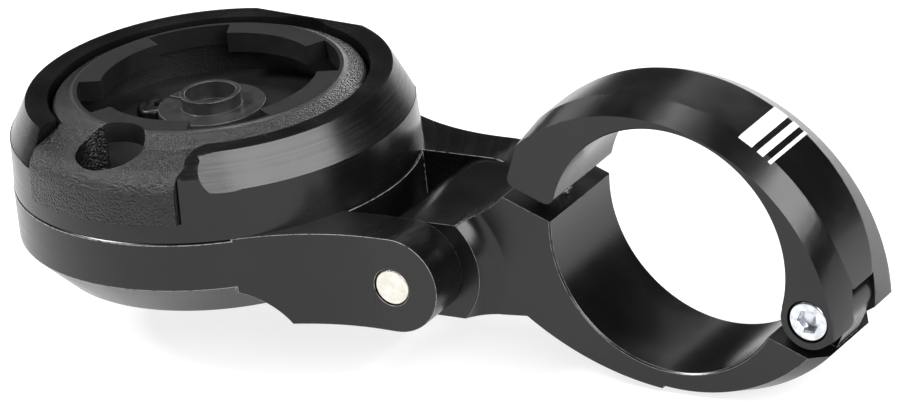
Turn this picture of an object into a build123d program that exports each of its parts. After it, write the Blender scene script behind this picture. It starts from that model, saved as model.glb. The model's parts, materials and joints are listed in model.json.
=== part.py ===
from build123d import *
import math
import os

# Out-front handlebar mount for a cycling computer, in millimetres.
# The origin is the centre of the handlebar bore. +Y is the bore's axis, -X is forward to the puck,
# and +Z is up, square to the puck. Both clamp halves are drawn in the parting frame, whose X lies
# along the parting plane, and then turned about the bore.

# handlebar clamp, in the parting frame
BAR_R = 15.9
CLAMP_W = 15.1
PARTING_TILT = 22.15
CROWN_R = 25.3
CROWN_OFF = 7.0
CAP_SHIFT = -0.3
CAP_FACE_OFF = 8.9
CAP_RIDGE_R = 24.2
CAP_RIDGE_OFF = 3.95
LOWER_FACE_SHIFT = 1.7
BORE_CHAMFER = 0.2
CAP_END_X = -22.3
CAP_END_Z = -2.1
LAND_Z = -4.1
LAND_END_X = -22.2
HINGE_X = 19.6
HINGE_Z = 0.55
EAR_END_R = 3.6
EAR_BACK_X = 21.2
EAR_BACK_Z = 1.5
EAR_BACK_R = 2.9
CAP_FOOT_R = 1.1
LUG_R = 3.4
LUG_W = 5.2
LUG_GAP = 0.15
SLOT_R = 4.6

# clamp fasteners
RUNNING_GAP = 0.05
HINGE_SHANK_R = 1.5
HINGE_HEAD_R = 2.6
HINGE_HEAD_H = 2.6
HINGE_SCREW_L = 10.5
HINGE_HEX = 2.5
HINGE_HEX_DEPTH = 1.4
BOLT_X = -18.9
BOLT_R = 2.0
BOLT_SEAT_Z = -11.0
BOLT_L = 16.0
BOLT_HEAD_R = 3.5
BOLT_HEAD_H = 4.0
BOLT_HEX = 3.0
BOLT_HEX_DEPTH = 2.0
BOLT_SWING_GAP = 0.3
WASHER_R = 3.6
WASHER_T = 0.8
COUNTERBORE_R = 3.75

# neck and tilt joint
PIN_X = -34.1
PIN_Z = -5.3
PIN_R = 2.4
KNUCKLE_R = 6.15
KNUCKLE_W = 18.8
SHOULDER_R = 8.6
WAIST_R = 11.8
LOCK_R = 2.0
LOCK_PAD_T = 0.9
LOCK_L = 2.7
LOCK_HEX = 2.0
EAR_R = 6.4
EAR_BOTTOM_Z = -11.15
EAR_IN = 9.5
EAR_OUT = 15.8
FORK_GAP = 1.0
EAR_BLEND_R = 30.0

# puck
PUCK_X = -67.1
PUCK_TURN = -5.2
RIM_Z = 11.64
SEAM_Z = 1.1
FLOOR_Z = 3.5
BASE_R = 25.5
BASE_WALL_Z = -5.2
BASE_BOTTOM_R = 21.0
BASE_BOTTOM_Z = -9.9
BASE_FLOOR_T = 2.5
BASE_POCKET_R = 17.8
HOUSING_R = 25.4
RIM_R = 22.8
RIM_IN_R = 20.0
BEVEL_R = 25.1
BEVEL_Z = 7.3
SHALLOW_R = 25.1
SHALLOW_Z = 9.2
BEVEL_START = 40.0
BEVEL_STOP = 30.0
BEVEL_END_R = 3.2
REAR_FLAT_D = 21.3
CORNER_FLAT_D = 22.8
CORNER_FLAT_ANGLE = 52.5
CORNER_FLAT_FOOT_D = 26.2
CORNER_FLAT_FOOT_Z = 3.0
NOTCH_W = 22.5
PRY_X = 0.0
PRY_Y = 15.0
PRY_R = 6.0
PRY_DEPTH = 2.2
HOUSING_BORE_R = 6.0
HOUSING_SCREW_PCR = 16.4
HOUSING_SCREW_ANGLES = (72, 145, -145, -72)
HOUSING_SCREW_R = 1.5
HOUSING_SCREW_L = 12.5
SCREW_BOSS_R = 3.4
HOUSING_HEAD_R = 2.8
HOUSING_HEX = 2.0

# bayonet insert, measured from the puck's axis
INSERT_R = 19.6
INSERT_TOP_Z = 12.2
INSERT_FACE_R = 16.8
CUP_FLOOR_Z = 5.8
LUG_UNDER_Z = 9.6
GROOVE_R = 17.0
LUG_TIP_R = 13.6
LOBE_R = 16.3
LOBE_SPAN = 37.0
TAB_W = 21.9
TAB_FRONT_R = 25.8
TAB_HOLE_R = 4.4
TAB_HOLE_X = -0.5
TAB_HOLE_Y = -19.9
INSERT_SCREW_X = 9.2
INSERT_SCREW_R = 1.25
INSERT_HEAD_R = 2.1
INSERT_HEAD_H = 1.2
INSERT_HEX = 1.5
INSERT_HEX_DEPTH = 0.8

# sprung centre hub
HUB_STEM_R = 3.2
HUB_RING_R = 3.8
HUB_CUP_R = 3.15
HUB_BORE_R = 2.1
HUB_FLANGE_R = 6.7
HUB_TOP_Z = 10.2
HUB_FLANGE_Z = 8.5
HUB_UNDER_Z = 7.3
HUB_BOTTOM_Z = 2.0
CLIP_Z = 2.6
CLIP_T = 0.7
CLIP_R = 4.6
CLIP_GROOVE_R = 2.8
SPRING_T = 0.35
SPRING_R = 6.2

SIDE = Plane.XZ


def slab(sketch, width):
    """A side-view sketch given that width, half to each side of the middle plane."""
    return extrude(SIDE * sketch, width / 2, both=True)


def at_y(y):
    """The side-view plane moved along the bore's axis."""
    return Plane(origin=(0, y, 0), x_dir=(1, 0, 0), z_dir=(0, -1, 0))


def in_parting_frame(x, z):
    """A point of the row frame, written in the parting frame."""
    tilt = math.radians(PARTING_TILT)
    return (x * math.cos(tilt) - z * math.sin(tilt), x * math.sin(tilt) + z * math.cos(tilt))


def turned(shape):
    """Turns a shape drawn in the parting frame into its place."""
    return Rot(0, PARTING_TILT, 0) * shape


def cross_rod(x, z, radius, y_from, y_to):
    """A round bar along Y."""
    return extrude(at_y(y_from) * Pos(x, z) * Circle(radius), -(y_to - y_from))


def upright(x, y, radius, z_from, z_to):
    """A round bar along Z."""
    return Pos(x, y, z_from) * extrude(Circle(radius), z_to - z_from)


def hexagon(across_flats):
    return RegularPolygon(across_flats / 2, 6, major_radius=False)


def hex_socket(across_flats, depth):
    """A hexagon upward from the origin, with the cone that its drill leaves at the end."""
    drill_r = across_flats / 2
    point = drill_r / 2
    return extrude(hexagon(across_flats), depth) + Pos(0, 0, depth + point / 2) * Cone(drill_r, 0, point)


def bore_cutter():
    """The handlebar bore with a small chamfer at both mouths."""
    cutter = cross_rod(0, 0, BAR_R, -CLAMP_W, CLAMP_W)
    for side in (-1, 1):
        mouth = at_y(side * CLAMP_W / 2) * Circle(BAR_R + BORE_CHAMFER)
        throat = at_y(side * (CLAMP_W / 2 - BORE_CHAMFER)) * Circle(BAR_R)
        cutter += loft([throat.face(), mouth.face()])
    return cutter


def leaning_ends(centre_mid, r_mid, centre_face, r_face):
    """Round body whose circle changes evenly from the middle plane to each side face."""
    body = Part()
    for side in (-1, 1):
        mid = at_y(0) * Pos(*centre_mid) * Circle(r_mid)
        face = at_y(side * CLAMP_W / 2) * Pos(*centre_face) * Circle(r_face)
        body += loft([mid.face(), face.face()])
    return body


def clamp_cap():
    crown = Pos(CAP_SHIFT, -CROWN_OFF - 0.2) * Circle(CROWN_R)
    front = Polygon((CAP_END_X, CAP_END_Z), (0, CAP_END_Z), (0, 30), (CAP_END_X, 30), align=None)
    rear = Polygon((-1, HINGE_Z), (30, HINGE_Z), (30, 30), (-1, 30), align=None)
    ear_end = Pos(HINGE_X, HINGE_Z) * Circle(EAR_END_R)
    ear_back = Pos(EAR_BACK_X, EAR_BACK_Z) * Circle(EAR_BACK_R)
    outline = crown & (front + rear + make_hull(ear_end.edges() + ear_back.edges()))
    outline -= Circle(BAR_R)
    foot = [v for v in outline.vertices() if abs(v.Y - CAP_END_Z) < 0.01]
    outline = fillet(foot, CAP_FOOT_R)
    cap = slab(outline, CLAMP_W)
    cap &= leaning_ends((CAP_SHIFT, -CAP_RIDGE_OFF), CAP_RIDGE_R, (CAP_SHIFT, -CAP_FACE_OFF), CROWN_R)
    cap -= bore_cutter()
    cap -= slab(Pos(HINGE_X, HINGE_Z) * Circle(SLOT_R), LUG_W + 2 * LUG_GAP)
    below_hinge = Polygon((14, HINGE_Z), (14, -6), (30, -6), (30, HINGE_Z), align=None)
    cap -= slab(below_hinge, LUG_W + 2 * LUG_GAP)
    half = CLAMP_W / 2
    cap -= cross_rod(HINGE_X, HINGE_Z, HINGE_HEAD_R + 0.15, -half - 1, -half + HINGE_HEAD_H)
    cap -= cross_rod(HINGE_X, HINGE_Z, HINGE_SHANK_R, -half, -half + HINGE_HEAD_H + HINGE_SCREW_L)
    bolt_tip = BOLT_SEAT_Z - WASHER_T + BOLT_L
    cap -= upright(BOLT_X, 0, BOLT_R + BOLT_SWING_GAP, CAP_END_Z - 2, bolt_tip + 1.2)
    return turned(cap)


def hinge_screw():
    seat = -CLAMP_W / 2 + HINGE_HEAD_H
    head = cross_rod(HINGE_X, HINGE_Z, HINGE_HEAD_R, seat - HINGE_HEAD_H + 0.1, seat)
    head = chamfer(head.edges().group_by(Axis.Y)[0], 0.25)
    screw = head + cross_rod(HINGE_X, HINGE_Z, HINGE_SHANK_R, seat, seat + HINGE_SCREW_L)
    face = Pos(HINGE_X, seat - HINGE_HEAD_H + 0.1, HINGE_Z)
    screw -= face * Rot(-90, 0, 0) * hex_socket(HINGE_HEX, HINGE_HEX_DEPTH)
    return turned(screw)


def clamp_bolt():
    seat = BOLT_SEAT_Z - WASHER_T
    head = upright(BOLT_X, 0, BOLT_HEAD_R, seat - BOLT_HEAD_H, seat)
    head = chamfer(head.edges().group_by(Axis.Z)[0], 0.35)
    bolt = head + upright(BOLT_X, 0, BOLT_R, seat, seat + BOLT_L)
    bolt = chamfer(bolt.edges().group_by(Axis.Z)[-1], 0.4)
    bolt -= Pos(BOLT_X, 0, seat - BOLT_HEAD_H) * hex_socket(BOLT_HEX, BOLT_HEX_DEPTH)
    return turned(bolt)


def clamp_washer():
    ring = upright(BOLT_X, 0, WASHER_R, BOLT_SEAT_Z - WASHER_T, BOLT_SEAT_Z)
    ring -= upright(BOLT_X, 0, BOLT_R, BOLT_SEAT_Z - 2, BOLT_SEAT_Z + 1)
    return turned(ring)


def neck_outline():
    """Side view of the neck in the parting frame, from the bore to the knuckle."""
    top = PIN_Z + KNUCKLE_R
    land = (LAND_END_X, LAND_Z)
    ramp_mid = in_parting_frame(-25.1, 2.3)
    ramp_foot = in_parting_frame(-28.2, top)
    knuckle_top = in_parting_frame(PIN_X, top)
    knuckle_tip = in_parting_frame(PIN_X - KNUCKLE_R, PIN_Z)
    knuckle_low = in_parting_frame(PIN_X, PIN_Z - KNUCKLE_R)
    belly = in_parting_frame(-27.5, -11.5)
    kink = in_parting_frame(-20.5, -11.0)
    lines = [
        ThreePointArc(land, ramp_mid, ramp_foot),
        Line(ramp_foot, knuckle_top),
        ThreePointArc(knuckle_top, knuckle_tip, knuckle_low),
        Line(knuckle_low, belly),
        Line(belly, kink),
        ThreePointArc(kink, (-5.1, -19.2), (4.5, -17.95)),
        Line((4.5, -17.95), (4.5, LAND_Z)),
        Line((4.5, LAND_Z), land),
    ]
    return make_face(Curve() + lines)


def waist_cutter(side):
    """Cuts the neck narrower beyond the knuckle, with a hollow shoulder round the tilt pin's axis."""
    plane = Plane(origin=(PIN_X, 0, PIN_Z), x_dir=(1, 0, 0), z_dir=(0, 0, 1))
    wide = side * KNUCKLE_W / 2
    slim = side * CLAMP_W / 2
    over = side * (KNUCKLE_W / 2 + 1)
    lines = [
        Line((SHOULDER_R, over), (SHOULDER_R, wide)),
        ThreePointArc((SHOULDER_R, wide), (SHOULDER_R + 0.9, side * 8.2), (WAIST_R, slim)),
        Line((WAIST_R, slim), (60, slim)),
        Line((60, slim), (60, over)),
        Line((60, over), (SHOULDER_R, over)),
    ]
    profile = plane * make_face(Curve() + lines)
    return revolve(profile, Axis((PIN_X, 0, PIN_Z), (0, 1, 0)))


def lower_clamp():
    rear_outline = Pos(0, CROWN_OFF) * Circle(CROWN_R)
    rear_outline &= Polygon((-1, LAND_Z), (30, LAND_Z), (30, -30), (-1, -30), align=None)
    rear = slab(rear_outline, CLAMP_W)
    mid_centre = (2 * LOWER_FACE_SHIFT, CROWN_OFF)
    face_centre = (-LOWER_FACE_SHIFT, CROWN_OFF)
    rear &= leaning_ends(mid_centre, CROWN_R, face_centre, CROWN_R)
    stem = Polygon(
        (HINGE_X - LUG_R, HINGE_Z),
        (HINGE_X + LUG_R, HINGE_Z),
        (HINGE_X + 2.8, LAND_Z - 0.1),
        (HINGE_X + 0.6, LAND_Z - 1.9),
        (HINGE_X - LUG_R, LAND_Z - 1.9),
        align=None,
    )
    lug = slab((Pos(HINGE_X, HINGE_Z) * Circle(LUG_R)) + stem, LUG_W)
    body = turned(slab(neck_outline(), KNUCKLE_W))
    for side in (-1, 1):
        body -= waist_cutter(side)
    body += turned(rear)
    body += turned(lug)
    body -= turned(bore_cutter())
    body -= turned(cross_rod(HINGE_X, HINGE_Z, HINGE_SHANK_R + RUNNING_GAP, -10, 10))
    body -= turned(upright(BOLT_X, 0, BOLT_R + RUNNING_GAP, -25, 0))
    body -= turned(upright(BOLT_X, 0, COUNTERBORE_R, -30, BOLT_SEAT_Z))
    body -= cross_rod(PIN_X, PIN_Z, PIN_R + RUNNING_GAP, -20, 20)
    body -= upright(PIN_X, 0, LOCK_R, PIN_Z - 10, PIN_Z - PIN_R)
    return body


def tilt_pin():
    pin = cross_rod(PIN_X, PIN_Z, PIN_R, -EAR_OUT + 0.1, EAR_OUT - 0.1)
    ends = pin.edges().group_by(Axis.Y)
    return chamfer(ends[0] + ends[-1], 0.25)


def tilt_lock_pad():
    top = PIN_Z - PIN_R
    return upright(PIN_X, 0, LOCK_R, top - LOCK_PAD_T, top)


def tilt_lock_screw():
    top = PIN_Z - PIN_R - LOCK_PAD_T
    screw = upright(PIN_X, 0, LOCK_R, top - LOCK_L, top)
    return screw - Pos(PIN_X, 0, top - LOCK_L) * hex_socket(LOCK_HEX, LOCK_L / 2)


def ear_side_outline():
    """Side view of the fork: a round end on the pin, and a foot that sweeps up under the puck."""
    lines = [
        Line((-62, SEAM_Z), (PIN_X, SEAM_Z)),
        ThreePointArc((PIN_X, SEAM_Z), (PIN_X + EAR_R - 0.1, PIN_Z + 0.1), (PIN_X, EAR_BOTTOM_Z)),
        Line((PIN_X, EAR_BOTTOM_Z), (-47.3, -10.8)),
        ThreePointArc((-47.3, -10.8), (-50.3, -7.5), (-54.5, -5.3)),
        Line((-54.5, -5.3), (-62, -5.3)),
        Line((-62, -5.3), (-62, SEAM_Z)),
    ]
    return make_face(Curve() + lines)


def ear_plan(side):
    """Plan of one ear, with a hollow blend from the puck's wall to the ear's outer face."""
    reach = math.sqrt((BASE_R + EAR_BLEND_R) ** 2 - (EAR_OUT + EAR_BLEND_R) ** 2)
    share = BASE_R / (BASE_R + EAR_BLEND_R)
    wall_point = (PUCK_X + reach * share, (EAR_OUT + EAR_BLEND_R) * share)
    points = [
        (-58, EAR_IN),
        (-20, EAR_IN),
        (-20, EAR_OUT),
        (PUCK_X + reach, EAR_OUT),
        wall_point,
        (-58, 19),
    ]
    blend = Pos(PUCK_X + reach, EAR_OUT + EAR_BLEND_R) * Circle(EAR_BLEND_R)
    plan = Polygon(*points, align=None) - blend
    return plan if side > 0 else mirror(plan, Plane.XZ)


def base_disc():
    profile = Polygon(
        (0, SEAM_Z),
        (BASE_R - 0.3, SEAM_Z),
        (BASE_R, SEAM_Z - 0.3),
        (BASE_R, BASE_WALL_Z),
        (BASE_BOTTOM_R, BASE_BOTTOM_Z),
        (0, BASE_BOTTOM_Z),
        align=None,
    )
    return Pos(PUCK_X, 0, 0) * revolve(Plane.XZ * profile, Axis.Z)


def screw_places():
    """Where the four screws stand that hold the housing to the base."""
    for degrees in HOUSING_SCREW_ANGLES:
        angle = math.radians(degrees)
        yield PUCK_X + HOUSING_SCREW_PCR * math.cos(angle), HOUSING_SCREW_PCR * math.sin(angle)


def countersink(x, y):
    """The cone and shank of a flat-head screw driven up from the base's underside."""
    depth = HOUSING_HEAD_R - HOUSING_SCREW_R
    cone = Pos(x, y, BASE_BOTTOM_Z + depth / 2) * Cone(HOUSING_HEAD_R, HOUSING_SCREW_R, depth)
    return cone + upright(x, y, HOUSING_SCREW_R, BASE_BOTTOM_Z, BASE_BOTTOM_Z + HOUSING_SCREW_L)


def arm_base():
    base = base_disc()
    for side in (-1, 1):
        ear = Pos(0, 0, -20) * extrude(ear_plan(side), 30)
        base += ear & slab(ear_side_outline(), 60)
    base -= cross_rod(PIN_X, PIN_Z, KNUCKLE_R + FORK_GAP, -EAR_IN, EAR_IN)
    pocket = Pos(PUCK_X, 0) * Circle(BASE_POCKET_R)
    for x, y in screw_places():
        pocket -= Pos(x, y) * Circle(SCREW_BOSS_R)
    base -= Pos(0, 0, BASE_BOTTOM_Z + BASE_FLOOR_T) * extrude(pocket, 20)
    base -= cross_rod(PIN_X, PIN_Z, PIN_R, -20, 20)
    for x, y in screw_places():
        base -= countersink(x, y)
    return base


def housing_screw(x, y):
    return countersink(x, y) - Pos(x, y, BASE_BOTTOM_Z) * hex_socket(HOUSING_HEX, HOUSING_HEX * 0.6)


def housing_ring():
    profile = Polygon(
        (HOUSING_BORE_R, SEAM_Z),
        (HOUSING_R, SEAM_Z),
        (SHALLOW_R, SHALLOW_Z),
        (RIM_R, RIM_Z),
        (RIM_IN_R, RIM_Z),
        (RIM_IN_R, FLOOR_Z),
        (HOUSING_BORE_R, FLOOR_Z),
        align=None,
    )
    return revolve(Plane.XZ * profile, Axis.Z)


def bevel_cutter():
    """The deep bevel round the rim. It stops short of the notch, with round ends like a cutter's."""
    slope = Polygon(
        (RIM_R, RIM_Z),
        (BEVEL_R, BEVEL_Z),
        (HOUSING_R + 9, BEVEL_Z),
        (HOUSING_R + 9, RIM_Z + 5),
        (RIM_R, RIM_Z + 5),
        align=None,
    )
    start = -90 + BEVEL_START
    stop = -90 - BEVEL_STOP
    cutter = Rot(0, 0, start) * revolve(Plane.XZ * slope, Axis.Z, 360 - BEVEL_START - BEVEL_STOP)
    outward = Vector(RIM_Z - BEVEL_Z, 0, BEVEL_R - RIM_R).normalized()
    middle = Vector((RIM_R + BEVEL_R) / 2, 0, (RIM_Z + BEVEL_Z) / 2)
    end_mill = extrude(Plane(origin=middle, z_dir=outward) * Circle(BEVEL_END_R), 12)
    for angle in (start, stop):
        cutter += Rot(0, 0, angle) * end_mill
    return cutter


def flat_cutter(angle, rim_distance, foot_distance, foot_z):
    """Cuts a sloping flat across the rim, square to the direction at that angle."""
    flat = Polygon(
        (rim_distance, RIM_Z),
        (foot_distance, foot_z),
        (HOUSING_R + 9, foot_z),
        (HOUSING_R + 9, RIM_Z + 5),
        (rim_distance, RIM_Z + 5),
        align=None,
    )
    return Rot(0, 0, angle) * extrude(Plane.XZ * flat, HOUSING_R, both=True)


def on_puck(shape):
    """Turns a shape drawn about the puck's axis, notch towards -Y, into its place."""
    return Pos(PUCK_X, 0, 0) * Rot(0, 0, PUCK_TURN) * shape


def puck_housing():
    ring = housing_ring() - bevel_cutter()
    ring -= flat_cutter(90, REAR_FLAT_D, REAR_FLAT_D + BEVEL_R - RIM_R, BEVEL_Z)
    ring -= flat_cutter(CORNER_FLAT_ANGLE, CORNER_FLAT_D, CORNER_FLAT_FOOT_D, CORNER_FLAT_FOOT_Z)
    ring -= Pos(0, -25, FLOOR_Z) * Box(NOTCH_W, 24, 20, align=(Align.CENTER, Align.CENTER, Align.MIN))
    ring -= upright(PRY_X, PRY_Y, PRY_R, RIM_Z - PRY_DEPTH, RIM_Z + 5)
    for side in (-1, 1):
        ring -= upright(side * INSERT_SCREW_X, 0, INSERT_SCREW_R, 0, 10)
    housing = on_puck(ring)
    for x, y in screw_places():
        housing -= upright(x, y, HOUSING_SCREW_R, 0, BASE_BOTTOM_Z + HOUSING_SCREW_L)
    return housing


def insert_body():
    """The insert's round shell: a raised face and a sloping shoulder."""
    lines = [
        Line((0, FLOOR_Z), (INSERT_R, FLOOR_Z)),
        Line((INSERT_R, FLOOR_Z), (INSERT_R, 10.2)),
        ThreePointArc((INSERT_R, 10.2), (19.2, 11.0), (18.4, 11.4)),
        Line((18.4, 11.4), (INSERT_FACE_R, INSERT_TOP_Z)),
        Line((INSERT_FACE_R, INSERT_TOP_Z), (0, INSERT_TOP_Z)),
        Line((0, INSERT_TOP_Z), (0, FLOOR_Z)),
    ]
    return revolve(Plane.XZ * make_face(Curve() + lines), Axis.Z)


def insert_tab():
    """The tab that fills the housing's notch, sloping to a rounded front edge."""
    lines = [
        Line((12, FLOOR_Z), (TAB_FRONT_R, FLOOR_Z)),
        Line((TAB_FRONT_R, FLOOR_Z), (TAB_FRONT_R - 0.1, 7.3)),
        ThreePointArc((TAB_FRONT_R - 0.1, 7.3), (TAB_FRONT_R - 0.9, 9.1), (23.2, 9.95)),
        Line((23.2, 9.95), (15.5, 11.7)),
        Line((15.5, 11.7), (12, 11.7)),
        Line((12, 11.7), (12, FLOOR_Z)),
    ]
    sweep = revolve(Plane.XZ * make_face(Curve() + lines), Axis.Z)
    return sweep & (Pos(0, -25, 0) * Box(TAB_W, 30, 40))


def bayonet_opening():
    """Plan of the mouth: a circle with four lobes on its diagonals."""
    mouth = Circle(LUG_TIP_R)
    spread = math.tan(math.radians(LOBE_SPAN / 2)) * 30
    for step in range(4):
        wedge = Polygon((0, 0), (30, -spread), (30, spread), align=None) & Circle(LOBE_R)
        mouth += Rot(0, 0, 45 + 90 * step) * wedge
    return mouth


def bayonet_insert():
    insert = insert_body() + insert_tab()
    insert -= Pos(0, 0, CUP_FLOOR_Z) * extrude(bayonet_opening(), 20)
    insert -= upright(0, 0, GROOVE_R, CUP_FLOOR_Z, LUG_UNDER_Z)
    insert -= upright(TAB_HOLE_X, TAB_HOLE_Y, TAB_HOLE_R, 0, 20)
    insert -= upright(0, 0, HUB_STEM_R + RUNNING_GAP, 0, 20)
    for side in (-1, 1):
        insert -= upright(side * INSERT_SCREW_X, 0, INSERT_SCREW_R, 0, 20)
    return on_puck(insert)


def insert_screw(side):
    x = side * INSERT_SCREW_X
    head = upright(x, 0, INSERT_HEAD_R, CUP_FLOOR_Z, CUP_FLOOR_Z + INSERT_HEAD_H)
    head = fillet(head.edges().group_by(Axis.Z)[-1], 0.5)
    top = Pos(x, 0, CUP_FLOOR_Z + INSERT_HEAD_H)
    socket = top * Rot(180, 0, 0) * hex_socket(INSERT_HEX, INSERT_HEX_DEPTH)
    return on_puck(head + upright(x, 0, INSERT_SCREW_R, SEAM_Z + 0.2, CUP_FLOOR_Z) - socket)


def centre_hub():
    hub = upright(0, 0, HUB_STEM_R, HUB_BOTTOM_Z, HUB_UNDER_Z)
    hub += upright(0, 0, HUB_FLANGE_R, HUB_UNDER_Z, HUB_FLANGE_Z)
    hub += upright(0, 0, HUB_RING_R, HUB_FLANGE_Z, HUB_TOP_Z)
    hub -= upright(0, 0, HUB_CUP_R, HUB_UNDER_Z + 0.6, HUB_TOP_Z + 1)
    hub -= upright(0, 0, HUB_BORE_R, 0, HUB_TOP_Z)
    hub -= upright(0, 0, HUB_STEM_R + 1, CLIP_Z, CLIP_Z + CLIP_T) - upright(0, 0, CLIP_GROOVE_R, 0, 10)
    slit = Pos(-HUB_FLANGE_R, 0, HUB_FLANGE_Z) * Box(5, 0.5, 1.2)
    return on_puck(hub - slit)


def hub_clip():
    """Open retaining ring in the stem's groove."""
    ring = upright(0, 0, CLIP_R, CLIP_Z, CLIP_Z + CLIP_T) - upright(0, 0, CLIP_GROOVE_R, 0, 10)
    ring -= Pos(CLIP_R, 0, CLIP_Z) * Box(6, 2.4, 3)
    return Pos(PUCK_X, 0, 0) * ring


def hub_spring():
    """Coned spring washer between the cup's floor and the hub's flange."""
    inner = HUB_STEM_R + 0.4
    profile = Polygon(
        (SPRING_R, CUP_FLOOR_Z),
        (SPRING_R, CUP_FLOOR_Z + SPRING_T),
        (inner, HUB_UNDER_Z),
        (inner, HUB_UNDER_Z - SPRING_T),
        align=None,
    )
    return Pos(PUCK_X, 0, 0) * revolve(Plane.XZ * profile, Axis.Z)


def main():
    os.makedirs("parts", exist_ok=True)
    nodes = {
        "lower_clamp": lower_clamp(),
        "clamp_cap": clamp_cap(),
        "hinge_screw": hinge_screw(),
        "clamp_bolt": clamp_bolt(),
        "clamp_washer": clamp_washer(),
        "arm_base": arm_base(),
        "tilt_pin": tilt_pin(),
        "tilt_lock_screw": tilt_lock_screw(),
        "tilt_lock_pad": tilt_lock_pad(),
        "puck_housing": puck_housing(),
        "bayonet_insert": bayonet_insert(),
        "centre_hub": centre_hub(),
        "hub_clip": hub_clip(),
        "hub_spring": hub_spring(),
        "insert_screw_front": insert_screw(-1),
        "insert_screw_rear": insert_screw(1),
    }
    for number, (x, y) in enumerate(screw_places(), 1):
        nodes[f"housing_screw_{number}"] = housing_screw(x, y)
    for name, shape in nodes.items():
        export_step(shape, f"parts/{name}.step")


main()
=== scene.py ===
import json
import math
from typing import NamedTuple

import bmesh
import bpy
from mathutils import Matrix, Vector


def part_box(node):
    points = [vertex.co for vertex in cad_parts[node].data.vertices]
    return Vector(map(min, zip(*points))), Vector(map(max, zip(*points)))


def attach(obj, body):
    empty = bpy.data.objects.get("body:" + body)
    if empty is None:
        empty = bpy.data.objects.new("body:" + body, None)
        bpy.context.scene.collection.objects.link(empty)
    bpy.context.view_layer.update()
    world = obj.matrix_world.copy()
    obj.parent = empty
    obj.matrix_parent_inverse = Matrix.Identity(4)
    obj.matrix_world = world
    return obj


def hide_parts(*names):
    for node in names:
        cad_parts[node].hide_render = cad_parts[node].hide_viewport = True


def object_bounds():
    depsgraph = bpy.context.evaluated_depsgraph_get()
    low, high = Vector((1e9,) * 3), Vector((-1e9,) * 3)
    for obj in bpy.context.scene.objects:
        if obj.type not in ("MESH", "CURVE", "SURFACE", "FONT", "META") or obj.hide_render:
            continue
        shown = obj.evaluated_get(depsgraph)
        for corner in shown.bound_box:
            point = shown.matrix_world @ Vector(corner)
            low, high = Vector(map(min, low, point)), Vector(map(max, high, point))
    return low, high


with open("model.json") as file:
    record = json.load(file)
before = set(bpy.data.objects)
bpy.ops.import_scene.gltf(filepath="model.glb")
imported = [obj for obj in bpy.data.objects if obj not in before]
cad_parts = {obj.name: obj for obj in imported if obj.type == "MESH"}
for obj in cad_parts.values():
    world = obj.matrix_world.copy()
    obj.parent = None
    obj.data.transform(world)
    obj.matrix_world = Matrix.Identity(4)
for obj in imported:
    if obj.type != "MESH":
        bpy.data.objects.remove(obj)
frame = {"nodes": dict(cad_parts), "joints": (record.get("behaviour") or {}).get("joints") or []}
cad_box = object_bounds()

MM = 0.001

# camera, in the row frame: where it looks, and from which side
CAMERA_AIM = Vector((-25.9, -13.3, 6.15)) * MM
CAMERA_AZIMUTH = -57.67
CAMERA_ELEVATION = 23.20
CAMERA_ROLL = -6.77
CAMERA_DISTANCE = 1.219
CAMERA_LENS = 406.1

# edges of the metal and plastic parts
WELD = 1e-6
FLAT_ANGLE = math.radians(0.05)
SHARP_ANGLE = math.radians(24)
SHALLOW_ANGLE = math.radians(5)
SMOOTH_ANGLE = math.radians(32)

# rounds along the sharp edges of each kind of piece
BODY_ROUND = 0.22 * MM
CAP_ROUND = 0.18 * MM
HOUSING_ROUND = 0.16 * MM
MOULDED_ROUND = 0.3 * MM
HUB_ROUND = 0.12 * MM
WASHER_ROUND = 0.1 * MM
SMALL_ROUND = 0.08 * MM

# the insert's smooth face ends here, measured from the puck's axis
INSERT_FACE_R = 16.9 * MM

# floor
FLOOR_HALF = 2.0
FLOOR_GAP = 0.2 * MM
FLOOR_GLOW = 0.8
WORLD_GLOW = 0.03

# soft boxes: name, azimuth and elevation in degrees, distance and size in metres, power in watts
LIGHTS = (
    ("key_box", -20, 36, 1.0, (1.35, 0.54), 22.0),
    ("right_box", 100, 14, 1.3, (0.55, 0.6), 5.0),
    ("back_box", 153, 24, 1.3, (0.8, 0.5), 1.6),
    ("left_box", -150, 47, 1.0, (0.3, 0.26), 16.0),
    ("top_box", 105, 72, 1.0, (0.28, 0.24), 6.0),
)

JOINTS = {joint["name"]: joint for joint in frame["joints"]}
HINGE = Vector(JOINTS["cap_hinge"]["pos_m"])
BOLT_UP = -Vector(JOINTS["bolt_withdraw"]["axis"])
HUB_LOW, HUB_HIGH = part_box("centre_hub")
PUCK_AXIS = (HUB_LOW + HUB_HIGH) / 2


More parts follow.
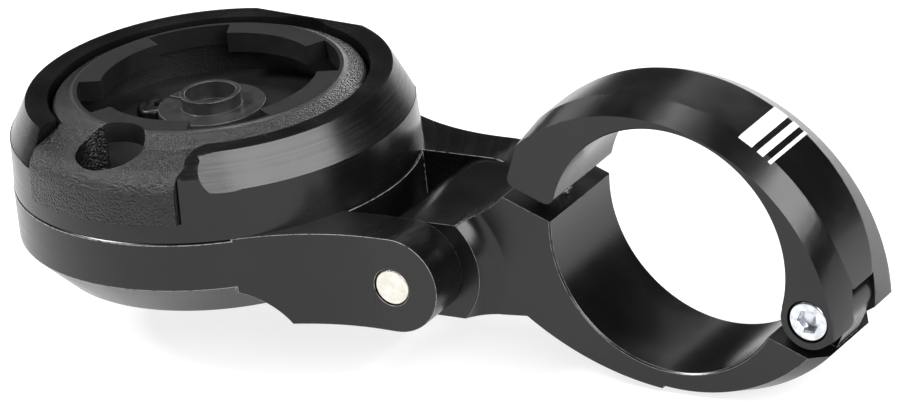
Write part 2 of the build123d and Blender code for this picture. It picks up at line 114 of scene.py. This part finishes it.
class Look:
    """A procedural material: its nodes, and short ways to join them."""

    def __init__(self, name, colour, roughness, **constants):
        self.material = bpy.data.materials.new(name)
        self.material.use_nodes = True
        self.tree = self.material.node_tree
        self.shader = self.tree.nodes["Principled BSDF"]
        self.shader.inputs["Base Color"].default_value = (*colour, 1)
        self.shader.inputs["Roughness"].default_value = roughness
        for socket, value in constants.items():
            self.shader.inputs[socket.replace("_", " ")].default_value = value
        self.place = self.add("ShaderNodeTexCoord").outputs["Object"]

    def add(self, kind, **inputs):
        node = self.tree.nodes.new(kind)
        for name, value in inputs.items():
            self.feed(node.inputs[name], value)
        return node

    def feed(self, socket, value):
        if isinstance(value, bpy.types.NodeSocket):
            self.tree.links.new(value, socket)
        else:
            socket.default_value = value

    def math(self, operation, first, second=0.0, clamp=False):
        node = self.tree.nodes.new("ShaderNodeMath")
        node.operation = operation
        node.use_clamp = clamp
        self.feed(node.inputs[0], first)
        self.feed(node.inputs[1], second)
        return node.outputs[0]

    def span(self, value, low, high, new_low=0.0, new_high=1.0):
        """The value's stretch from low to high, spread from new_low to new_high and held there."""
        node = self.tree.nodes.new("ShaderNodeMapRange")
        self.feed(node.inputs["Value"], value)
        node.inputs["From Min"].default_value = low
        node.inputs["From Max"].default_value = high
        node.inputs["To Min"].default_value = new_low
        node.inputs["To Max"].default_value = new_high
        return node.outputs["Result"]

    def noise(self, size, detail=2.0, vector=None):
        """Noise whose patches are about that size, in metres."""
        node = self.tree.nodes.new("ShaderNodeTexNoise")
        node.inputs["Scale"].default_value = 1 / size
        node.inputs["Detail"].default_value = detail
        self.feed(node.inputs["Vector"], vector or self.place)
        return node.outputs["Fac"]

    def mix(self, share, first, second):
        node = self.tree.nodes.new("ShaderNodeMix")
        node.data_type = "RGBA"
        self.feed(node.inputs["Factor"], share)
        self.feed(node.inputs["A"], first if isinstance(first, bpy.types.NodeSocket) else (*first, 1))
        self.feed(node.inputs["B"], second if isinstance(second, bpy.types.NodeSocket) else (*second, 1))
        return node.outputs["Result"]

    def bump(self, height, depth, strength=1.0, under=None):
        node = self.tree.nodes.new("ShaderNodeBump")
        node.inputs["Strength"].default_value = strength
        node.inputs["Distance"].default_value = depth
        self.feed(node.inputs["Height"], height)
        if under is not None:
            self.feed(node.inputs["Normal"], under)
        return node.outputs["Normal"]

    def axial(self, centre):
        """Distance from the upright axis through centre, angle about it, and height."""
        node = self.add("ShaderNodeSeparateXYZ", Vector=self.place)
        x = self.math("SUBTRACT", node.outputs["X"], centre.x)
        y = self.math("SUBTRACT", node.outputs["Y"], centre.y)
        radius = self.math("SQRT", self.math("ADD", self.math("MULTIPLY", x, x), self.math("MULTIPLY", y, y)))
        return radius, self.math("ARCTAN2", y, x), node.outputs["Z"]

    def edge_wear_and_highlight(self):
        """Mask for edge wear and the painted highlight on the rounded edges: 1 along them, broken up a
        little, and 0 elsewhere.
        """
        node = self.tree.nodes.new("ShaderNodeAttribute")
        node.attribute_name = "edge_wear_and_highlight"
        return self.math("MULTIPLY", node.outputs["Fac"], self.span(self.noise(0.7 * MM, 3), 0.28, 0.52))

    def set(self, socket, value):
        self.tree.links.new(value, self.shader.inputs[socket])


ANODISED = (0.0024, 0.0022, 0.0025)
ANODISED_WORN_AND_HIGHLIGHT = (0.34, 0.33, 0.32)
GRAIN_SIZE = 0.09 * MM
GRAIN_DEPTH = 0.004 * MM
LATHE_LINE = 0.42 * MM
LATHE_DEPTH = 0.0006 * MM
LATHE_DRIFT = 0.03 * MM


def anodised(name, marks=None):
    """Satin black anodising: a faint cloudiness, a very fine blasted grain, and paler edges that are edge
    wear and a painted highlight.
    marks adds the fine lines that turning leaves, as a value that changes across them."""
    look = Look(name, ANODISED, 0.24, IOR=1.43)
    cloud = look.noise(6 * MM, 3)
    tone = look.mix(look.span(cloud, 0.35, 0.65), ANODISED, tuple(1.5 * c for c in ANODISED))
    # painted highlight: the rounded edges are mixed towards pale grey, for edge wear and the catch light
    # along each edge
    look.tone = look.mix(look.math("MULTIPLY", look.edge_wear_and_highlight(), 0.8), tone, ANODISED_WORN_AND_HIGHLIGHT)
    look.set("Base Color", look.tone)
    grain = look.noise(GRAIN_SIZE, 2)
    rough = look.span(cloud, 0.3, 0.7, 0.20, 0.28)
    if marks is not None:
        lines = marks(look)
        rough = look.math("ADD", rough, look.span(lines, 0.35, 0.65, -0.025, 0.03))
        normal = look.bump(lines, LATHE_DEPTH, 0.5, look.bump(grain, GRAIN_DEPTH, 0.35))
    else:
        normal = look.bump(grain, GRAIN_DEPTH, 0.45)
    look.set("Roughness", rough)
    look.set("Normal", normal)
    return look


def lathe_marks(centre):
    """Lines round the upright axis through centre."""

    def marks(look):
        radius, angle, height = look.axial(centre)
        vector = look.add("ShaderNodeCombineXYZ", X=radius, Y=height).outputs["Vector"]
        turn = look.math("MULTIPLY", angle, LATHE_DRIFT)
        stretched = look.add("ShaderNodeCombineXYZ", Z=turn).outputs["Vector"]
        node = look.tree.nodes.new("ShaderNodeVectorMath")
        node.operation = "ADD"
        look.feed(node.inputs[0], vector)
        look.feed(node.inputs[1], stretched)
        return look.noise(LATHE_LINE, 1, node.outputs["Vector"])

    return marks


STRIPE_COLOUR = (0.55, 0.55, 0.545)
STRIPE_ANGLES = ((50.0, 56.5), (44.5, 47.5), (40.5, 42.0))
STRIPE_HALF_WIDTH = 4.7 * MM
STRIPE_INNER_R = 16.6 * MM


def printed_anodised():
    """Anodising with plain pale bars printed across the cap's crown."""
    look = anodised("anodised_printed")
    node = look.add("ShaderNodeSeparateXYZ", Vector=look.place)
    angle = look.math("ARCTAN2", node.outputs["Z"], node.outputs["X"])
    across = look.math("ABSOLUTE", node.outputs["Y"])
    square_x = look.math("MULTIPLY", node.outputs["X"], node.outputs["X"])
    square_z = look.math("MULTIPLY", node.outputs["Z"], node.outputs["Z"])
    reach = look.math("SQRT", look.math("ADD", square_x, square_z))
    bars = 0.0
    for low, high in STRIPE_ANGLES:
        above = look.math("GREATER_THAN", angle, math.radians(low))
        below = look.math("LESS_THAN", angle, math.radians(high))
        bars = look.math("ADD", look.math("MULTIPLY", above, below), bars)
    inside = look.math("LESS_THAN", across, STRIPE_HALF_WIDTH)
    outer = look.math("GREATER_THAN", reach, STRIPE_INNER_R)
    ink = look.math("MULTIPLY", look.math("MULTIPLY", bars, inside), outer)
    speckle = look.span(look.noise(0.12 * MM, 2), 0.22, 0.36)
    look.set("Base Color", look.mix(look.math("MULTIPLY", ink, speckle), look.tone, STRIPE_COLOUR))
    return look


MOULDED_GRAIN = 0.34 * MM
MOULDED_DEPTH = 0.17 * MM


def moulded(name, face_radius):
    """Moulded plastic: a smooth face round the mouth, and a coarse sparkling grain outside it."""
    look = Look(name, (0.012, 0.012, 0.0125), 0.4, IOR=1.42)
    radius = look.axial(PUCK_AXIS)[0]
    grainy = look.span(radius, face_radius, face_radius + 0.5 * MM)
    cells = look.add("ShaderNodeTexVoronoi", Vector=look.place, Scale=1 / MOULDED_GRAIN).outputs["Distance"]
    coarse = look.math("ADD", look.math("MULTIPLY", cells, -0.7), look.noise(0.22 * MM, 3))
    skin = look.noise(0.5 * MM, 3)
    fine = look.bump(skin, 0.01 * MM, 0.5)
    depth = look.math("MULTIPLY", coarse, look.span(grainy, 0, 1, 0.12, 1.0))
    look.set("Normal", look.bump(depth, MOULDED_DEPTH, 1.0, fine))
    look.set("Roughness", look.span(grainy, 0, 1, 0.42, 0.2))
    cloud = look.span(look.noise(3 * MM, 3), 0.3, 0.7)
    tone = look.mix(cloud, (0.003, 0.003, 0.0032), (0.006, 0.006, 0.0063))
    # painted highlight: rounded edges lightened towards grey, for edge wear and the catch light along each
    # edge
    look.set("Base Color", look.mix(look.math("MULTIPLY", look.edge_wear_and_highlight(), 0.35), tone, (0.11, 0.11, 0.11)))
    return look


def smooth_plastic(name):
    look = Look(name, (0.014, 0.014, 0.015), 0.32, IOR=1.5)
    cloud = look.noise(1.6 * MM, 3)
    tone = look.mix(cloud, (0.010, 0.010, 0.011), (0.022, 0.022, 0.023))
    # painted highlight: rounded edges lightened towards grey, for edge wear and the catch light along each
    # edge
    look.set("Base Color", look.mix(look.math("MULTIPLY", look.edge_wear_and_highlight(), 0.3), tone, (0.16, 0.16, 0.16)))
    look.set("Roughness", look.span(cloud, 0.3, 0.7, 0.26, 0.38))
    look.set("Normal", look.bump(look.noise(0.15 * MM, 2), 0.006 * MM, 0.6))
    return look


def metal(name, colour, dark, roughness, grain=0.1 * MM, depth=0.004 * MM):
    """Bare or plated metal: cloudy tone, uneven polish and a fine grain."""
    look = Look(name, colour, roughness, Metallic=1.0)
    cloud = look.noise(0.9 * MM, 4)
    look.set("Base Color", look.mix(look.span(cloud, 0.36, 0.66), dark, colour))
    look.set("Roughness", look.span(cloud, 0.3, 0.7, roughness * 0.8, roughness * 1.3))
    look.set("Normal", look.bump(look.noise(grain, 3), depth, 0.6))
    return look


def floor_look():
    """Pale paper lit from below as well, so that it is even and holds only a faint shadow."""
    look = Look("floor_paper", (0.5, 0.5, 0.5), 0.65, Specular_IOR_Level=0.1)
    look.set("Base Color", look.mix(look.noise(40 * MM, 2), (0.24, 0.24, 0.24), (0.27, 0.27, 0.27)))
    look.shader.inputs["Emission Color"].default_value = (1, 1, 1, 1)
    look.shader.inputs["Emission Strength"].default_value = FLOOR_GLOW
    return look


def finished(piece, body, slot_name, *nodes):
    """Smooth shading held at the sharp edges, then the piece's body, and the nodes it stands for are hidden.
    slot_name is not used.
    """
    piece.data.shade_smooth()
    piece.data.set_sharp_from_angle(angle=SMOOTH_ANGLE)
    normals = piece.modifiers.new("even_normals", "WEIGHTED_NORMAL")
    normals.keep_sharp = True
    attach(piece, body)
    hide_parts(*nodes)
    return piece


def new_piece(name, mesh, look):
    data = bpy.data.meshes.new(name)
    mesh.to_mesh(data)
    mesh.free()
    data.materials.append(look.material)
    piece = bpy.data.objects.new(name, data)
    bpy.context.scene.collection.objects.link(piece)
    return piece


def is_ridge(edge):
    """True where a face square to the side faces meets one that leans towards them."""
    leans = sorted(abs(face.normal.y) for face in edge.link_faces)
    return edge.calc_face_angle() > SHALLOW_ANGLE and leans[0] < 0.01 and leans[1] > 0.05


def softened(node, name, body, slot_name, look, width, ridged=False):
    """The node's own shape with its sharp edges broken by a small round, that wide on each face.
    ridged also rounds the shallow ridges where leaning faces begin."""
    mesh = bmesh.new()
    mesh.from_mesh(frame["nodes"][node].data)
    bmesh.ops.remove_doubles(mesh, verts=mesh.verts[:], dist=WELD)
    bmesh.ops.dissolve_limit(mesh, angle_limit=FLAT_ANGLE, verts=mesh.verts[:], edges=mesh.edges[:])
    # the rounds' vertices carry the mask for edge wear and the painted highlight along each edge
    edge_wear_and_highlight = mesh.verts.layers.float.new("edge_wear_and_highlight")
    folds = [edge for edge in mesh.edges if len(edge.link_faces) == 2]
    sharp = [edge for edge in folds if edge.calc_face_angle() > SHARP_ANGLE or (ridged and is_ridge(edge))]
    made = bmesh.ops.bevel(mesh, geom=sharp, offset=width, offset_type="OFFSET", segments=2, profile=0.5,
                           affect="EDGES", clamp_overlap=True)
    rounds = set(made["faces"])
    for vert in {v for face in rounds for v in face.verts}:
        if all(face in rounds for face in vert.link_faces):
            vert[edge_wear_and_highlight] = 1.0
    return finished(new_piece(name, mesh, look), body, slot_name, node)


def placed(origin, axis):
    """A matrix that puts a piece's own Z along axis, with its origin there."""
    turn = Vector(axis).to_track_quat("Z", "Y").to_matrix().to_4x4()
    return Matrix.Translation(origin) @ turn


def lathe(rings, count):
    """A closed round body from rings of (height, radius at an angle), from one end to the other."""
    mesh = bmesh.new()
    loops = []
    for height, radius in rings:
        loop = []
        for step in range(count):
            angle = math.tau * step / count
            reach = radius(angle) if callable(radius) else radius
            loop.append(mesh.verts.new((reach * math.cos(angle), reach * math.sin(angle), height)))
        loops.append(loop)
    for lower, upper in zip(loops, loops[1:]):
        for step in range(count):
            after = (step + 1) % count
            mesh.faces.new((lower[step], lower[after], upper[after], upper[step]))
    for loop, end in ((loops[0], rings[0]), (loops[-1], rings[-1])):
        tip = mesh.verts.new((0, 0, end[0]))
        for step in range(count):
            after = (step + 1) % count
            corners = (loop[step], loop[after], tip)
            mesh.faces.new(corners if loop is loops[-1] else corners[::-1])
    return mesh


def hexagon(across_flats):
    """Radius of a hexagon at an angle, with a corner at angle 0."""
    sector = math.pi / 3

    def radius(angle):
        return across_flats / 2 / math.cos(angle % sector - sector / 2)

    return radius


def thread(radius, pitch, start, end):
    """Rings of a right-handed thread between two heights, running out at both ends."""
    depth = 0.54 * pitch
    step = pitch / 8
    rings = []
    for number in range(int((end - start) / step) + 1):
        height = start + number * step
        fade = min(1.0, (height - start) / pitch, (end - height) / pitch)

        def reach(angle, height=height, fade=fade):
            phase = (height / pitch - angle / math.tau) % 1.0
            flank = max(0.0, min(1.0, 4.0 * abs(phase - 0.5) - 0.5))
            return radius - depth * (1 - flank) * max(fade, 0.0)

        rings.append((height, reach))
    return rings


def knurled(radius, teeth, depth):
    def reach(angle):
        return radius - depth * (0.5 + 0.5 * math.cos(teeth * angle))

    return reach


class ScrewSize(NamedTuple):
    """A socket screw's sizes in metres. teeth is how many knurls its head has."""

    head_r: float
    head_h: float
    hex_size: float
    hex_depth: float
    shank_r: float
    pitch: float
    teeth: int


HINGE_SCREW = ScrewSize(2.6 * MM, 2.5 * MM, 2.5 * MM, 1.4 * MM, 1.5 * MM, 0.5 * MM, 0)
CLAMP_BOLT = ScrewSize(3.5 * MM, 4.0 * MM, 3.0 * MM, 2.0 * MM, 2.0 * MM, 0.7 * MM, 36)
CLAMP_BOLT_LENGTH = 16.0 * MM
KNURL_DEPTH = 0.07 * MM
WASHER_HALF = 0.4 * MM


def socket_screw(size, length):
    """A socket screw as one closed mesh: its own Z runs from the head's face at 0 to the tip."""
    head_r, head_h, hex_size, hex_depth, shank_r, pitch, teeth = size
    rim = 0.25 * MM
    grip = knurled(head_r, teeth, KNURL_DEPTH) if teeth else head_r
    hexed = hexagon(hex_size)
    rings = [
        (hex_depth + hex_size / 4, 0.02 * MM),
        (hex_depth, hex_size * 0.47),
        (hex_depth, hexed),
        (0.18 * MM, hexed),
        (0.05 * MM, lambda angle: hexed(angle) + 0.09 * MM),
        (0.0, lambda angle: hexed(angle) + 0.22 * MM),
        (0.0, head_r - rim),
        (0.08 * MM, head_r - 0.4 * rim),
        (rim, grip),
        (head_h - 0.1 * MM, grip),
        (head_h, head_r - 0.12 * MM),
        (head_h, shank_r),
    ]
    rings += thread(shank_r, pitch, head_h + 0.2 * MM, head_h + length - 0.25 * MM)
    rings += [(head_h + length, shank_r * 0.72)]
    mesh = lathe(rings, 96)
    bmesh.ops.recalc_face_normals(mesh, faces=mesh.faces[:])
    return mesh


def make_camera():
    data = bpy.data.cameras.new("camera")
    data.lens = CAMERA_LENS
    data.sensor_width = 36
    data.clip_start = 0.05
    data.clip_end = 20
    camera = bpy.data.objects.new("camera", data)
    turn = Matrix.Rotation(math.radians(CAMERA_AZIMUTH + 90), 4, "Z")
    tip = Matrix.Rotation(math.radians(90 - CAMERA_ELEVATION), 4, "X")
    roll = Matrix.Rotation(math.radians(CAMERA_ROLL), 4, "Z")
    pose = turn @ tip @ roll
    away = pose.to_3x3() @ Vector((0, 0, CAMERA_DISTANCE))
    camera.matrix_world = Matrix.Translation(CAMERA_AIM + away) @ pose
    bpy.context.scene.collection.objects.link(camera)
    bpy.context.scene.camera = camera


def soft_box(name, azimuth, elevation, distance, size, power):
    """An area light that faces the object from that direction, in degrees and metres."""
    data = bpy.data.lights.new(name, "AREA")
    data.shape = "RECTANGLE"
    data.size, data.size_y = size
    data.energy = power
    lamp = bpy.data.objects.new(name, data)
    a, e = math.radians(azimuth), math.radians(elevation)
    away = Vector((math.cos(a) * math.cos(e), math.sin(a) * math.cos(e), math.sin(e)))
    lamp.matrix_world = placed(CAMERA_AIM + away * distance, away)
    bpy.context.scene.collection.objects.link(lamp)


def make_studio():
    top = cad_box[0][2] - FLOOR_GAP
    mesh = bmesh.new()
    corners = ((-1, -1), (1, -1), (1, 1), (-1, 1))
    mesh.faces.new([mesh.verts.new((FLOOR_HALF * x, FLOOR_HALF * y, top)) for x, y in corners])
    new_piece("floor", mesh, floor_look())
    world = bpy.data.worlds.new("studio")
    world.use_nodes = True
    background = world.node_tree.nodes["Background"]
    background.inputs["Color"].default_value = (0.95, 0.97, 1.0, 1)
    background.inputs["Strength"].default_value = WORLD_GLOW
    bpy.context.scene.world = world
    for light in LIGHTS:
        soft_box(*light)
    bpy.context.scene.view_settings.view_transform = "Standard"


def make_metal_bodies():
    plain = anodised("anodised_black")
    turned = anodised("anodised_turned", lathe_marks(PUCK_AXIS))
    printed = printed_anodised()
    slot_name = "black_anodised"
    softened("lower_clamp", "clamp_lower_half", "clamp", slot_name, plain, BODY_ROUND, ridged=True)
    softened("clamp_cap", "clamp_upper_half", "cap", slot_name, printed, CAP_ROUND, ridged=True)
    softened("arm_base", "fork_and_base", "arm", slot_name, turned, BODY_ROUND)
    softened("puck_housing", "puck_shell", "arm", slot_name, turned, HOUSING_ROUND)


def make_plastics():
    insert = moulded("insert_plastic", INSERT_FACE_R)
    hub = smooth_plastic("hub_plastic_look")
    softened("bayonet_insert", "bayonet_ring", "arm", "moulded_black", insert, MOULDED_ROUND)
    softened("centre_hub", "hub_boss", "hub", "hub_plastic", hub, HUB_ROUND)


def make_hinge_screw(zinc):
    low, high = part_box("hinge_screw")
    mesh = socket_screw(HINGE_SCREW, high.y - low.y - HINGE_SCREW.head_h)
    mesh.transform(placed(Vector((HINGE.x, low.y, HINGE.z)), (0, 1, 0)))
    finished(new_piece("hinge_screw_fine", mesh, zinc), "cap", "zinc_plated", "hinge_screw")


def make_clamp_bolt(zinc):
    low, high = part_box("clamp_washer")
    seat = (low + high) / 2 - BOLT_UP * WASHER_HALF
    mesh = socket_screw(CLAMP_BOLT, CLAMP_BOLT_LENGTH)
    mesh.transform(placed(seat - BOLT_UP * CLAMP_BOLT.head_h, BOLT_UP))
    finished(new_piece("clamp_bolt_fine", mesh, zinc), "bolt", "zinc_plated", "clamp_bolt")


def make_fasteners():
    zinc = metal("zinc_plate", (0.74, 0.75, 0.78), (0.50, 0.52, 0.56), 0.2)
    pin = metal("ground_steel", (0.74, 0.72, 0.66), (0.60, 0.57, 0.50), 0.32, 0.25 * MM, 0.012 * MM)
    oxide = metal("black_oxide_look", (0.06, 0.06, 0.065), (0.03, 0.03, 0.032), 0.4)
    spring = metal("spring_steel_look", (0.42, 0.42, 0.43), (0.25, 0.25, 0.26), 0.3)
    brass = metal("brass_look", (0.74, 0.55, 0.25), (0.5, 0.36, 0.14), 0.3)

    softened("tilt_pin", "tilt_axle", "arm", "bright_steel", pin, SMALL_ROUND)
    softened("clamp_washer", "bolt_washer", "bolt", "zinc_plated", zinc, WASHER_ROUND)
    softened("hub_clip", "hub_retaining_clip", "hub", "spring_steel", spring, SMALL_ROUND)
    screws = ["insert_screw_front", "insert_screw_rear"]
    screws += [f"housing_screw_{number}" for number in range(1, 5)]
    for node in screws:
        softened(node, node + "_fine", "arm", "black_oxide", oxide, SMALL_ROUND)
    make_hinge_screw(zinc)
    make_clamp_bolt(zinc)
    for node, look in (("hub_spring", spring), ("tilt_lock_pad", brass), ("tilt_lock_screw", oxide)):
        data = frame["nodes"][node].data
        data.materials.clear()
        data.materials.append(look.material)


make_camera()
make_studio()
make_metal_bodies()
make_plastics()
make_fasteners()
